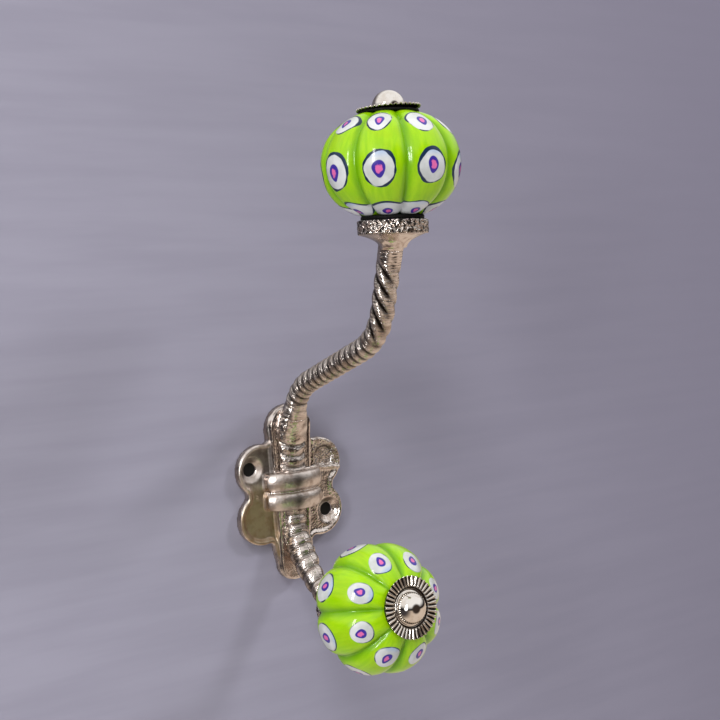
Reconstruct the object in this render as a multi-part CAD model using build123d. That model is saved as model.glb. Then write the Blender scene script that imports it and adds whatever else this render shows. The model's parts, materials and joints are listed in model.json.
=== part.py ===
from build123d import *
import math
import os

# Cast double wall hook with two ceramic knobs, each held to its cup by a dome-headed screw.
# Frame: X along the wall, Y into the wall, Z up. The wall plane is Y = 0 and the origin is
# the middle of the backplate's rear face. All sizes are in millimetres.

# --- backplate: a flower with six lobes, the same on both sides ---
PLATE_THICKNESS = 3.2
WALL_REACH = 300.0
TOP_LOBE_Z = 21.6
TOP_LOBE_RADIUS = 8.7
SIDE_LOBE_X = 11.7
SIDE_LOBE_Z = 8.4
SIDE_LOBE_RADIUS = 9.0
BOTTOM_LOBE_Z = -25.4
BOTTOM_LOBE_RADIUS = 6.0
WAIST_HALF_WIDTH = 17.2
WAIST_HALF_HEIGHT = 2.6
MIDDLE_HALF_WIDTH = 8.0
NOTCH_RADIUS = 1.6
RIM_ROUND = 0.7

# --- raised spine down the middle of the backplate ---
SPINE_PROUD = 1.1
SPINE_TOP_HALF = 8.4
SPINE_BOTTOM_HALF = 5.4
SPINE_INSET = 0.3

# --- countersunk screw holes on one diagonal, and the blind dimple beside the rope ---
HOLE_X = 15.2
HOLE_Z = 9.0
HOLE_DIAMETER = 4.8
SINK_DIAMETER = 9.0
SINK_DEPTH = 2.1
DIMPLE_X = 13.9
DIMPLE_Z = 10.4
DIMPLE_DIAMETER = 8.4
DIMPLE_DEPTH = 0.9

# --- rope stem and the arms it becomes, as points (Y, Z) in the plane X = 0 ---
ROPE_DIAMETER = 7.6
ROPE_Y = -3.0
UPPER_ARM = [(ROPE_Y, 0.0), (-3.2, 19.0), (-10.5, 36.4), (-58.0, 54.2), (-66.2, 83.6)]
UPPER_BENDS = [34.0, 18.0, 19.0]
LOWER_ARM = [(ROPE_Y, 0.0), (ROPE_Y, -12.5), (-12.0, -27.0), (-26.5, -36.4), (-32.5, -35.4)]
LOWER_BENDS = [10.0, 16.0, 8.0]

# --- two bands cast across the rope, with a shallow valley between them ---
BAND_HALF_WIDTH = 10.9
BAND_CREST = 6.2
BAND_HEIGHT = 6.0
BAND_MIDDLES = [4.1, -2.6]
BAND_ROUND = 1.2
BAND_VALLEY = 0.9

# --- cup on the end of each arm: centre of its rim, and how far its axis leans from -Y ---
CUP_DIAMETER = 21.2
CUP_BAND = 4.3
CUP_FLARE = 4.2
CUP_NECK_DIAMETER = 8.0
CUP_RIM_ROUND = 0.5
CUP_STEP = 0.6
FLARE_WAIST = 1.6
FLARE_WAIST_SHARE = 0.45
TAP_DEPTH = 8.4
UPPER_RIM = (0.0, -67.2, 90.3)
LOWER_RIM = (0.0, -36.5, -34.6)
LOWER_RISE = 12.5

# --- how each knob happens to be turned on its screw, in degrees ---
UPPER_KNOB_TURN = 0.0
LOWER_KNOB_TURN = 15.0

# --- knob stack, measured along the screw from the cup's rim ---
SEAT_THICKNESS = 1.2
SEAT_DIAMETER = 19.2
GASKET_THICKNESS = 0.8
GASKET_DIAMETER = 18.2
WASHER_BORE = 4.4
KNOB_DIAMETER = 42.0
KNOB_LENGTH = 30.0
KNOB_END_DIAMETER = 18.0
KNOB_LOBES = 8
GROOVE_DIAMETER = 3.4
GROOVE_DEPTH = 1.2
GROOVE_START_SHARE = 0.9
SCREW_DIAMETER = 4.0
RUNNING_CLEARANCE = 0.08
TAP_CLEARANCE = 0.03
TIP_CLEARANCE = 0.6
ROSETTE_DIAMETER = 19.3
ROSETTE_SHEET = 0.5
ROSETTE_FLAT_DIAMETER = 12.8
ROSETTE_RISE = 0.7
ROSETTE_BORE = 5.6
LOWER_ROSETTE_SLIP = 0.7
DOME_DIAMETER = 9.9
FLANGE_DIAMETER = 11.0
FLANGE_THICKNESS = 0.6

KNOB_TOP = SEAT_THICKNESS + KNOB_LENGTH
UPPER_AXIS = Plane(UPPER_RIM, x_dir=(1, 0, 0), z_dir=(0, 0, 1))
LOWER_AXIS = Plane(
    LOWER_RIM,
    x_dir=(1, 0, 0),
    z_dir=(0, -math.cos(math.radians(LOWER_RISE)), math.sin(math.radians(LOWER_RISE))),
)


def flower_outline():
    """The backplate's outline: six overlapping discs and a waist, with rounded notches."""
    outline = Pos(0, TOP_LOBE_Z) * Circle(TOP_LOBE_RADIUS)
    outline += Pos(0, BOTTOM_LOBE_Z) * Circle(BOTTOM_LOBE_RADIUS)
    for side in (-1, 1):
        for end in (-1, 1):
            outline += Pos(side * SIDE_LOBE_X, end * SIDE_LOBE_Z) * Circle(SIDE_LOBE_RADIUS)
    outline += Rectangle(2 * WAIST_HALF_WIDTH, 2 * WAIST_HALF_HEIGHT)
    flank = SIDE_LOBE_Z + SIDE_LOBE_RADIUS
    middle = [
        (-MIDDLE_HALF_WIDTH, flank),
        (MIDDLE_HALF_WIDTH, flank),
        (MIDDLE_HALF_WIDTH, -flank),
        (BOTTOM_LOBE_RADIUS, BOTTOM_LOBE_Z),
        (-BOTTOM_LOBE_RADIUS, BOTTOM_LOBE_Z),
        (-MIDDLE_HALF_WIDTH, -flank),
    ]
    outline += make_face(Polyline(*middle, close=True))
    return offset(offset(outline, NOTCH_RADIUS), -NOTCH_RADIUS)


def backplate():
    """Flower plate with its raised spine, rounded front rim, screw holes and blind dimple."""
    outline = flower_outline()
    plate = extrude(Plane.XZ * outline, PLATE_THICKNESS)
    front = plate.faces().sort_by(Axis.Y)[0]
    plate = fillet(front.edges(), RIM_ROUND)

    top = TOP_LOBE_Z + TOP_LOBE_RADIUS
    bottom = BOTTOM_LOBE_Z - BOTTOM_LOBE_RADIUS
    corners = [
        (-SPINE_TOP_HALF, top),
        (SPINE_TOP_HALF, top),
        (SPINE_BOTTOM_HALF, bottom),
        (-SPINE_BOTTOM_HALF, bottom),
    ]
    strip = make_face(Polyline(*corners, close=True)) & offset(outline, -SPINE_INSET)
    plate += extrude(Plane.XZ * strip, PLATE_THICKNESS + SPINE_PROUD)

    from_mouth = (Align.CENTER, Align.CENTER, Align.MIN)
    for side in (-1, 1):
        mouth = Plane((side * HOLE_X, -PLATE_THICKNESS, -side * HOLE_Z), z_dir=(0, 1, 0))
        plate -= mouth * Cone(SINK_DIAMETER / 2, HOLE_DIAMETER / 2, SINK_DEPTH, align=from_mouth)
        plate -= mouth * Cylinder(HOLE_DIAMETER / 2, PLATE_THICKNESS + 1, align=from_mouth)
    dimple = Plane((DIMPLE_X, -PLATE_THICKNESS, DIMPLE_Z), z_dir=(0, 1, 0))
    floor = DIMPLE_DIAMETER / 2 - DIMPLE_DEPTH
    plate -= dimple * Cone(DIMPLE_DIAMETER / 2, floor, DIMPLE_DEPTH, align=from_mouth)
    return plate


def rope_arm(points, bends):
    """Round bar along straight runs joined by tangent arcs, in the plane X = 0."""
    path = FilletPolyline(*[(0, y, z) for y, z in points], radius=bends)
    start = Plane(path @ 0, z_dir=path % 0)
    return sweep(start * Circle(ROPE_DIAMETER / 2), path)


def half_round(half_width, crest, height):
    """A strap with a half-elliptical section, standing out from its back towards -Y."""
    front = Pos(0, -crest / 2) * Rectangle(2 * half_width, crest)
    return extrude(Ellipse(half_width, crest) & front, height / 2, both=True)


def bands():
    """Two half-round straps cast over the rope, and the lower web that joins them."""
    upper, lower = BAND_MIDDLES
    web = half_round(BAND_HALF_WIDTH - BAND_VALLEY, BAND_CREST - BAND_VALLEY, upper - lower)
    straps = [Pos(0, ROPE_Y, (upper + lower) / 2) * web]
    for middle in BAND_MIDDLES:
        strap = half_round(BAND_HALF_WIDTH, BAND_CREST, BAND_HEIGHT)
        crest = [edge for edge in strap.edges() if edge.center().Y < -1]
        strap = fillet(crest, BAND_ROUND)
        straps.append(Pos(0, ROPE_Y, middle) * strap)
    return straps


def cup(axis):
    """Flared cup with a plain band round its rim, tapped for the knob's screw."""
    rim = CUP_DIAMETER / 2
    neck = CUP_NECK_DIAMETER / 2
    foot = -(CUP_BAND + CUP_FLARE)
    step = (rim - CUP_STEP, -CUP_BAND)
    waist = (neck + FLARE_WAIST, -CUP_BAND - FLARE_WAIST_SHARE * CUP_FLARE)
    flare = Spline(step, waist, (neck, foot), tangents=((-1, -0.35), (-0.1, -1)))
    edge = Polyline((neck, foot), (0, foot), (0, 0), (rim, 0), (rim, -CUP_BAND), step)
    profile = make_face(edge + flare)
    solid = revolve(Plane.XZ * profile, Axis.Z)
    solid = fillet(solid.edges().group_by(Axis.Z)[-1], CUP_RIM_ROUND)
    return axis * solid


def hook_casting():
    """Backplate, bands, both arms and both cups: one casting."""
    casting = backplate()
    casting += rope_arm(UPPER_ARM, UPPER_BENDS)
    casting += rope_arm(LOWER_ARM, LOWER_BENDS)
    for strap in bands():
        casting += strap
    behind_wall = Box(WALL_REACH, WALL_REACH, WALL_REACH, align=(Align.CENTER, Align.MIN, Align.CENTER))
    casting -= behind_wall
    for axis in (UPPER_AXIS, LOWER_AXIS):
        casting += cup(axis)
        tap = Cylinder(
            SCREW_DIAMETER / 2 + TAP_CLEARANCE,
            TAP_DEPTH,
            align=(Align.CENTER, Align.CENTER, Align.MAX),
        )
        casting -= axis * tap
    return casting


def rubber_washer(diameter, thickness):
    """Flat rubber washer: the seat under the ceramic, or the gasket on top of it."""
    return extrude(Circle(diameter / 2) - Circle(WASHER_BORE / 2), thickness)


def melon_knob(turn):
    """Ceramic melon: a barrel of revolution with a groove between each two lobes."""
    half = KNOB_LENGTH / 2
    end = KNOB_END_DIAMETER / 2
    side = ThreePointArc((end, -half), (KNOB_DIAMETER / 2, 0), (end, half))
    edge = Polyline((end, half), (0, half), (0, -half), (end, -half))
    barrel = revolve(Plane.XZ * make_face(edge + side), Axis.Z)

    reach = KNOB_DIAMETER / 2 - end
    side_radius = (reach**2 + half**2) / (2 * reach)
    side_centre = KNOB_DIAMETER / 2 - side_radius
    cutter = Torus(side_radius + GROOVE_DIAMETER / 2 - GROOVE_DEPTH, GROOVE_DIAMETER / 2)
    cutter = Pos(side_centre, 0, 0) * Rot(90, 0, 0) * cutter
    outer_side = Box(
        KNOB_DIAMETER, KNOB_DIAMETER, 2 * KNOB_LENGTH, align=(Align.MIN, Align.CENTER, Align.CENTER)
    )
    cutter = cutter & Pos(end * GROOVE_START_SHARE, 0, 0) * outer_side
    for lobe in range(KNOB_LOBES):
        barrel -= Rot(0, 0, (lobe + 0.5) * 360 / KNOB_LOBES) * cutter
    barrel -= Cylinder(SCREW_DIAMETER / 2 + RUNNING_CLEARANCE, KNOB_LENGTH + 2)
    return Pos(0, 0, SEAT_THICKNESS + half) * Rot(0, 0, turn) * barrel


def rosette(slip):
    """Thin dished washer whose rim stands off the ceramic; its loose bore lets it slip sideways."""
    flat = ROSETTE_FLAT_DIAMETER / 2
    rim = ROSETTE_DIAMETER / 2
    section = [
        (ROSETTE_BORE / 2, 0),
        (flat, 0),
        (rim, ROSETTE_RISE),
        (rim, ROSETTE_RISE + ROSETTE_SHEET),
        (flat, ROSETTE_SHEET),
        (ROSETTE_BORE / 2, ROSETTE_SHEET),
    ]
    disc = revolve(Plane.XZ * make_face(Polyline(*section, close=True)), Axis.Z)
    return Pos(slip, 0, KNOB_TOP + GASKET_THICKNESS) * disc


def dome_screw():
    """Smooth domed head with a thin flange, on a shank that reaches into the cup."""
    under_head = KNOB_TOP + GASKET_THICKNESS + ROSETTE_SHEET
    radius = DOME_DIAMETER / 2
    flange = FLANGE_DIAMETER / 2
    tip = -(TAP_DEPTH - TIP_CLEARANCE)
    foot = (radius, under_head + FLANGE_THICKNESS)
    shoulder = (radius * math.sqrt(0.5), foot[1] + radius * math.sqrt(0.5))
    crown = (0, foot[1] + radius)
    dome = ThreePointArc(foot, shoulder, crown)
    edge = Polyline(
        crown,
        (0, tip),
        (SCREW_DIAMETER / 2, tip),
        (SCREW_DIAMETER / 2, under_head),
        (flange, under_head),
        (flange, under_head + FLANGE_THICKNESS),
        foot,
    )
    return revolve(Plane.XZ * make_face(edge + dome), Axis.Z)


os.makedirs("parts", exist_ok=True)
nodes = {"hook_casting": hook_casting()}
stacks = [
    ("upper", UPPER_AXIS, UPPER_KNOB_TURN, 0.0),
    ("lower", LOWER_AXIS, LOWER_KNOB_TURN, LOWER_ROSETTE_SLIP),
]
for place, axis, turn, slip in stacks:
    nodes[place + "_seat_washer"] = axis * rubber_washer(SEAT_DIAMETER, SEAT_THICKNESS)
    nodes[place + "_knob"] = axis * melon_knob(turn)
    gasket = rubber_washer(GASKET_DIAMETER, GASKET_THICKNESS)
    nodes[place + "_front_gasket"] = axis * Pos(0, 0, KNOB_TOP) * gasket
    nodes[place + "_rosette"] = axis * rosette(slip)
    nodes[place + "_dome_screw"] = axis * dome_screw()

for name, solid in nodes.items():
    export_step(solid, f"parts/{name}.step")
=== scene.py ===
import json
import math

import bmesh
import bpy
import numpy as np
from mathutils import Matrix, Quaternion, Vector, kdtree, noise


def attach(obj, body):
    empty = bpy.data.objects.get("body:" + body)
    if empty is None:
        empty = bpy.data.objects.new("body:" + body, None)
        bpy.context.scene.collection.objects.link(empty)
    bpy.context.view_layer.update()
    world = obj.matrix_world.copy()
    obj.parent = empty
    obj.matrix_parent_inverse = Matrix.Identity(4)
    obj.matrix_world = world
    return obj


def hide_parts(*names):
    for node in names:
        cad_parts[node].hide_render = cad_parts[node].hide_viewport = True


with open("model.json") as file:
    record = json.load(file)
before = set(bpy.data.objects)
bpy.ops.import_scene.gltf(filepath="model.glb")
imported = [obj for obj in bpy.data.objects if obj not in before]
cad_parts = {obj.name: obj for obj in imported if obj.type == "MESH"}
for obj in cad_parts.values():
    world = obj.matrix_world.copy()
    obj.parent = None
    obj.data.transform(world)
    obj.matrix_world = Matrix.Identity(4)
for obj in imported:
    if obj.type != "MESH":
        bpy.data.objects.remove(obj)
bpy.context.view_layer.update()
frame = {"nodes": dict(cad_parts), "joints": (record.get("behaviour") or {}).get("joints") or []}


# Hook casting: backplate, bands, rope arms and cups in one piece of nickel-plated iron.
# It is sand cast, so its edges are soft and its skin is grained, and the twist of the rope
# and the dished lobes are cast in. Two countersunk holes take the wall screws.
MM = 0.001
CAST_VOXEL = 0.36
LOBE_DISH = 1.0
RIM_BEAD = 0.2
PLATE_THICKNESS = 3.2
SPINE_FRONT = 4.3
SPINE_TOP = (8.4, 30.3)
SPINE_BOTTOM = (5.4, -31.4)
HOLE_PLACES = [(-15.2, 9.0), (15.2, -9.0)]
HOLE_RADIUS = 2.4
SINK_RADIUS = 4.5
DIMPLE_PLACE = (13.9, 10.4)
DIMPLE_RADIUS = 3.6
SPINE_LIP = 0.1
SPINE_HOLLOW = 0.03
RIDGE_START = (10.5, 6.9)
RIDGE_RUN = (9.3, -0.9)
RIDGE_HEIGHT = 0.8
BAND_MIDDLES = (4.1, -2.6)
BAND_HALF_HEIGHT = 3.0
BAND_HALF_WIDTH = 10.9
BAND_BULGE = 0.85
BAND_LIP = 0.2
BANDS_CENTRE = 0.75
BANDS_REACH = 6.9
UPPER_ARM = [(-3.0, 0.0), (-3.2, 19.0), (-10.5, 36.4), (-58.0, 54.2), (-66.2, 83.6)]
UPPER_BENDS = [34.0, 18.0, 19.0]
LOWER_ARM = [(-3.0, 0.0), (-3.0, -12.5), (-12.0, -27.0), (-26.5, -36.4), (-32.5, -35.4)]
LOWER_BENDS = [10.0, 16.0, 8.0]
LINE_STEP = 0.5
ROPE_RADIUS = 3.8
ROPE_SPREAD = 0.3
UPPER_SWELL = 0.6
LOWER_SWELL = 0.9
WRAP_START = 18.6
WRAP_PITCH = 3.8
WRAP_DEPTH = 0.75
WRAP_TILT = 2.4
RING_PITCH = 3.4
RING_DEPTH = 0.58
TWIST_PITCH = 5.0
TWIST_DEPTH = 0.85
TWIST_STRANDS = 4
FINE_WRAP_PITCH = 4.3
FINE_WRAP_TILT = 0.9
LONG_WRAP_PITCH = 5.4
LOWER_WRAP_DEPTH = 0.65
SEAT_TO_MIDDLE = 16.2


def srgb(red, green, blue):
    """A colour as a painter mixes it, 0 to 255, turned into the linear values of a shader."""
    parts = [channel / 255 for channel in (red, green, blue)]
    return (*[p / 12.92 if p < 0.04 else ((p + 0.055) / 1.055) ** 2.4 for p in parts], 1.0)


def soft_step(low, high, value):
    """0 below low, 1 above high, and a smooth ramp between them."""
    ramp = np.clip((value - low) / (high - low), 0.0, 1.0)
    return ramp * ramp * (3 - 2 * ramp)


def hill(gap, width):
    """1 where gap is nothing, falling away smoothly to either side."""
    return np.exp(-((gap / width) ** 2))


def bumps(points, size, seed):
    """Smooth random heights from -1 to 1 over points, with lumps about size across."""
    shift = Vector((seed * 17.3, seed * 5.9, seed * 11.1))
    return np.array([noise.noise(Vector(p) / size + shift) for p in points])


def stack_frame(joint_name):
    """Turns lengths along a knob's screw, from the rim of its cup, into the hook's own frame."""
    joint = next(j for j in frame["joints"] if j["name"] == joint_name)
    along = Vector(joint["axis"]).normalized()
    middle = Vector(joint["pos_m"]) / MM
    side = Vector((1, 0, 0))
    turn = Matrix((side, along.cross(side), along)).transposed()
    return Matrix.Translation(middle - along * SEAT_TO_MIDDLE) @ turn.to_4x4()


def rounded_line(corners, bends):
    """Points at even steps along straight runs joined by tangent arcs."""
    corners = [np.array(c) for c in corners]
    marks = [corners[0]]
    for before, wall_shade_falloff, after, radius in zip(corners, corners[1:], corners[2:], bends):
        inward = (wall_shade_falloff - before) / np.linalg.norm(wall_shade_falloff - before)
        outward = (after - wall_shade_falloff) / np.linalg.norm(after - wall_shade_falloff)
        angle = math.acos(np.clip(inward @ outward, -1, 1))
        reach = radius * math.tan(angle / 2)
        centre_way = (outward - inward) / np.linalg.norm(outward - inward)
        centre = wall_shade_falloff + centre_way * radius / math.cos(angle / 2)
        start = wall_shade_falloff - inward * reach
        for step in np.linspace(0, angle, 24):
            spoke = (start - centre) * math.cos(step) + inward * radius * math.sin(step)
            marks.append(centre + spoke)
    marks.append(corners[-1])
    marks = np.array(marks)
    runs = np.concatenate([[0], np.cumsum(np.linalg.norm(np.diff(marks, axis=0), axis=1))])
    even = np.arange(0, runs[-1], LINE_STEP)
    return np.column_stack([np.interp(even, runs, marks[:, k]) for k in (0, 1)])


def along_rope(points, line):
    """For each point: length along the rope's middle line, angle round it, and distance from it."""
    ways = np.gradient(line, axis=0)
    ways /= np.linalg.norm(ways, axis=1)[:, None]
    nearest = np.empty(len(points), int)
    for first in range(0, len(points), 20000):
        block = points[first : first + 20000, 1:]
        gaps = ((block[:, None, :] - line[None]) ** 2).sum(axis=2)
        nearest[first : first + 20000] = gaps.argmin(axis=1)
    away = points[:, 1:] - line[nearest]
    way = ways[nearest]
    run = nearest * LINE_STEP + (away * way).sum(axis=1)
    front = away[:, 1] * way[:, 0] - away[:, 0] * way[:, 1]
    return run, np.arctan2(points[:, 0], front), np.hypot(points[:, 0], front)


def strands(run, pitch, turns=0.0):
    """Height across strands: 0 on each strand's crown and -1 in the crease between two."""
    phase = 2 * math.pi * run / pitch + turns
    return np.abs(np.sin(phase / 2)) ** 0.8 - 1


def attribute(mesh, name, kind, values):
    """Stores one value per vertex for a material to read."""
    layer = mesh.attributes.new(name, kind, "POINT")
    layer.data.foreach_set("vector" if kind == "FLOAT_VECTOR" else "value", np.ravel(values))


def in_scene(name, data):
    """A new object at the origin, linked into the scene."""
    thing = bpy.data.objects.new(name, data)
    bpy.context.scene.collection.objects.link(thing)
    return thing


casting_node = frame["nodes"]["hook_casting"]
rough_mesh = casting_node.data.copy()
blank = bmesh.new()
blank.from_mesh(rough_mesh)
bmesh.ops.remove_doubles(blank, verts=blank.verts, dist=0.002 * MM)
blank.to_mesh(rough_mesh)
blank.free()
rough_casting = in_scene("casting_blank", rough_mesh)
remesh = rough_casting.modifiers.new("cast", "REMESH")
remesh.mode = "VOXEL"
remesh.voxel_size = CAST_VOXEL * MM
relax = rough_casting.modifiers.new("relax", "SMOOTH")
relax.factor = 0.5
relax.iterations = 2
bpy.context.view_layer.update()
evaluated = rough_casting.evaluated_get(bpy.context.evaluated_depsgraph_get())
cast_mesh = bpy.data.meshes.new_from_object(evaluated)
bpy.data.objects.remove(rough_casting)

count = len(cast_mesh.vertices)
points = np.empty(count * 3)
cast_mesh.vertices.foreach_get("co", points)
points = points.reshape(-1, 3) / MM
normals = np.empty(count * 3)
cast_mesh.vertices.foreach_get("normal", normals)
normals = normals.reshape(-1, 3)
x, y, z = points.T
facing = soft_step(0.25, 0.75, -normals[:, 1])

# The backplate's lobes are dished behind a thin bead, the spine has a raised edge, and a
# low ridge runs out across the right side above the lower hole.
hole_gap = np.min([np.hypot(x - cx, z - cz) for cx, cz in HOLE_PLACES], axis=0)
side_wall = (np.abs(normals[:, 1]) < 0.2) & (y > -2.3) & (y < -0.4) & (np.abs(z) < 32)
side_wall &= hole_gap > HOLE_RADIUS + 0.7
outline = kdtree.KDTree(int(side_wall.sum()))
for number, spot in enumerate(points[side_wall]):
    outline.insert((spot[0], 0.0, spot[2]), number)
outline.balance()
inset = np.full(count, -5.0)
for number in np.flatnonzero((y > -5.2) & (np.abs(x) < 22) & (np.abs(z) < 33)):
    inset[number] = outline.find((x[number], 0.0, z[number]))[2]
share = (z - SPINE_BOTTOM[1]) / (SPINE_TOP[1] - SPINE_BOTTOM[1])
spine_half = SPINE_BOTTOM[0] + share * (SPINE_TOP[0] - SPINE_BOTTOM[0])
off_spine = np.abs(x) - spine_half
in_slab = (y > -PLATE_THICKNESS - 0.4) & (inset > -1.0)
beside_spine = soft_step(0.2, 0.8, off_spine) * soft_step(0.9, 2.3, inset) * in_slab
upper_right = soft_step(4.5, 7.0, z) * soft_step(0.0, 2.0, x)
lower_right = soft_step(6.5, 4.0, z) * soft_step(0.0, 2.0, x)
dish = LOBE_DISH * beside_spine * (1 - 0.75 * upper_right) * (1 - 0.35 * lower_right)
depth_share = np.clip(-y / PLATE_THICKNESS, 0.0, 1.0)
bead = RIM_BEAD * hill(inset - 0.65, 0.45) * facing * in_slab * (off_spine > 0)
spine_lip = SPINE_LIP * hill(off_spine + 0.6, 0.5) * facing
spine_hollow = SPINE_HOLLOW * soft_step(-0.9, -1.8, off_spine) * facing
on_spine_face = (y < -SPINE_FRONT + 0.5) & (y > -SPINE_FRONT - 0.3)
clear_of_bands = np.abs(z - BANDS_CENTRE) > BANDS_REACH
spine_shape = (spine_hollow - spine_lip) * on_spine_face * clear_of_bands
ridge_share = np.clip((x - RIDGE_START[0]) / RIDGE_RUN[0], 0, 1)
ridge_x = RIDGE_START[0] + RIDGE_RUN[0] * ridge_share
ridge_z = RIDGE_START[1] + RIDGE_RUN[1] * ridge_share
ridge = RIDGE_HEIGHT * hill(np.hypot(x - ridge_x, z - ridge_z), 0.65) * facing * in_slab
push_back = dish * depth_share - bead + spine_shape - ridge

# The bands are barrel-shaped in height, with a thin lip on their outer edges and a painted dark
# reflection at their middles.
on_band = (y < -4.9) & (np.abs(x) < BAND_HALF_WIDTH + 0.5) & ~clear_of_bands
band_bulge = np.zeros(count)
band_face = np.zeros(count)
band_dark_reflection = np.zeros(count)
for middle, lip_side in zip(BAND_MIDDLES, (1, -1)):
    height = (z - middle) / BAND_HALF_HEIGHT
    within = on_band & (np.abs(height) < 1.05)
    barrel = 1 - height**2
    lip = BAND_LIP * hill(height * lip_side - 0.88, 0.12)
    band_bulge += np.where(within, BAND_BULGE * barrel + lip, 0.0)
    band_face += within
    # A painted dark reflection at each band's middle.
    band_dark_reflection += np.where(within, barrel * hill(x + 1.3, 2.1), 0.0)

# The rope's strands: wrapped rings on the plate, fine rings up the slope, and a steep
# four-strand twist on the upright, worn down along its front and smooth again under the cup.
upper_line = rounded_line(UPPER_ARM, UPPER_BENDS)
lower_line = rounded_line(LOWER_ARM, LOWER_BENDS)
up_run, up_angle, up_reach = along_rope(points, upper_line)
low_run, low_angle, low_reach = along_rope(points, lower_line)
on_upper = (up_reach < ROPE_RADIUS + 0.7) & (z > 0) & (up_reach > 2.6)
on_lower = (low_reach < ROPE_RADIUS + 0.7) & (z < 0) & (low_reach > 2.6) & ~on_upper
free_of_plate = soft_step(-SPINE_FRONT - 0.1, -SPINE_FRONT - 0.7, y)
free_of_plate = np.maximum(free_of_plate, soft_step(30.5, 31.5, np.abs(z)))
on_upper &= free_of_plate > 0
on_lower &= free_of_plate > 0
wrap_rise = z + WRAP_TILT * np.cos(up_angle) - WRAP_START
wraps = WRAP_DEPTH * strands(wrap_rise, WRAP_PITCH)
rings = RING_DEPTH * strands(up_run, RING_PITCH, up_angle)
worn_front = 1 - 0.8 * hill(up_angle - 0.2, 0.5)
twist = TWIST_DEPTH * worn_front * strands(up_run, TWIST_PITCH, TWIST_STRANDS * up_angle)
upper_end = len(upper_line) * LINE_STEP
to_wrap = soft_step(0.7, 0.2, wrap_rise)
to_ring = soft_step(26.0, 36.0, up_run)
to_twist = soft_step(80.0, 92.0, up_run)
to_neck = soft_step(upper_end - 4.5, upper_end - 9.5, up_run)
upper_strands = (
    wraps * to_wrap + rings * (1 - to_wrap) * to_ring * (1 - to_twist) + twist * to_twist * to_neck
)
fine_rise = -low_run + FINE_WRAP_TILT * np.cos(low_angle)
fine_wraps = LOWER_WRAP_DEPTH * strands(fine_rise, FINE_WRAP_PITCH)
long_wraps = LOWER_WRAP_DEPTH * strands(low_run, LONG_WRAP_PITCH, -low_angle)
to_long = soft_step(20.0, 25.0, low_run)
lower_end = len(lower_line) * LINE_STEP
to_lower_cup = soft_step(lower_end - 6.0, lower_end - 8.0, low_run)
lower_strands = (fine_wraps * (1 - to_long) + long_wraps * to_long) * to_lower_cup
not_band = 1 - np.clip(band_face, 0, 1)
swell = (UPPER_SWELL * on_upper + LOWER_SWELL * on_lower) * soft_step(30.0, 22.0, np.abs(z))
swell *= not_band * free_of_plate
rope_height = (upper_strands * on_upper + lower_strands * on_lower) * free_of_plate * not_band

# The cups are hammered round their bands. Everything else keeps a faint unevenness.
cup_band = np.zeros(count)
cup_zone = np.zeros(count)
for joint_name in ("upper_knob_turn", "lower_knob_turn"):
    into = np.array(stack_frame(joint_name).inverted())
    local = points @ into[:3, :3].T + into[:3, 3]
    out = np.hypot(local[:, 0], local[:, 1])
    cup_band += soft_step(9.9, 10.3, out) * soft_step(-4.6, -4.0, local[:, 2]) * (out < 11.5)
    cup_zone += (out < 11.5) & (local[:, 2] > -9.5) & (local[:, 2] < 0.5)
cup_zone = np.clip(cup_zone, 0, 1)
rope_height *= 1 - cup_zone
right_side = soft_step(8.0, 10.5, x) * in_slab * facing
pitted = right_side * soft_step(SINK_RADIUS, SINK_RADIUS + 0.8, hole_gap)
grained = np.clip(pitted * (0.25 + 0.45 * upper_right) + cup_band, 0, 1)
fine = bumps(points, 1.1, 1)
coarse = bumps(points, 3.1, 2)
skin = 0.1 * fine * grained + (0.03 * fine + 0.05 * coarse) * (1 - 0.6 * grained)
skin += 0.24 * bumps(points, 1.0, 3) * np.clip(cup_band, 0, 1)
skin += 0.16 * bumps(points, 1.3, 6) * pitted * upper_right
skin += 0.16 * bumps(points, 1.7, 4) * on_upper * (1 - to_ring) * (1 - to_wrap)
skin *= soft_step(-0.1, -0.6, y)

outward = normals * (rope_height + swell + band_bulge + skin)[:, None]
moved = points + outward
moved[:, 1] += push_back

# Where it lies on the plate above the bands, the rope is spread wider.
widened = soft_step(6.7, 3.9, np.abs(x)) * soft_step(33.0, 21.0, z) * soft_step(7.0, 7.6, z)
moved[:, 0] *= 1 + ROPE_SPREAD * widened * (y < -SPINE_FRONT + 0.6)
cast_mesh.vertices.foreach_set("co", (moved * MM).ravel())
cast_mesh.update()

# What the finish reads at each point: the lay of the metal's grain, how coarse it is, how
# far it is stained or painted with shade, how satin it is, and where the strands are scored along
# their length.
lay_upper = np.column_stack([up_angle * 0.9, up_run, 0.3 * up_reach])
lay_lower = np.column_stack([low_angle * 0.9, low_run + 300, 0.3 * low_reach])
lay = np.where((on_upper & (up_run > 27.0))[:, None], lay_upper, points)
lay = np.where(on_lower[:, None], lay_lower, lay)
lay = np.where((cup_zone > 0)[:, None], points, lay)
on_rope = ((on_upper | on_lower) & (cup_zone == 0)) * free_of_plate * not_band
smooth_part = soft_step(0.0, -2.0, x) * in_slab * facing * (1 - 0.5 * soft_step(0, 4, z))
grain = np.clip(0.16 + 0.84 * grained + 0.25 * on_rope - 0.13 * smooth_part, 0, 1)
grain = np.where(cup_zone > 0, 0.12 + 0.88 * cup_band, grain)
# The creases between strands are painted dark: painted shade.
shade_and_stain = np.clip(-rope_height / 0.5, 0, 1) ** 1.4
shade_and_stain *= 1 - 0.45 * (on_lower | (z < 20))
# A painted shade arcs along the upper edge of the dimple.
dimple_gap = np.hypot(x - DIMPLE_PLACE[0], z - DIMPLE_PLACE[1])
crescent = hill(dimple_gap - DIMPLE_RADIUS, 0.7) * soft_step(-0.5, 2.0, z - DIMPLE_PLACE[1])
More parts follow.
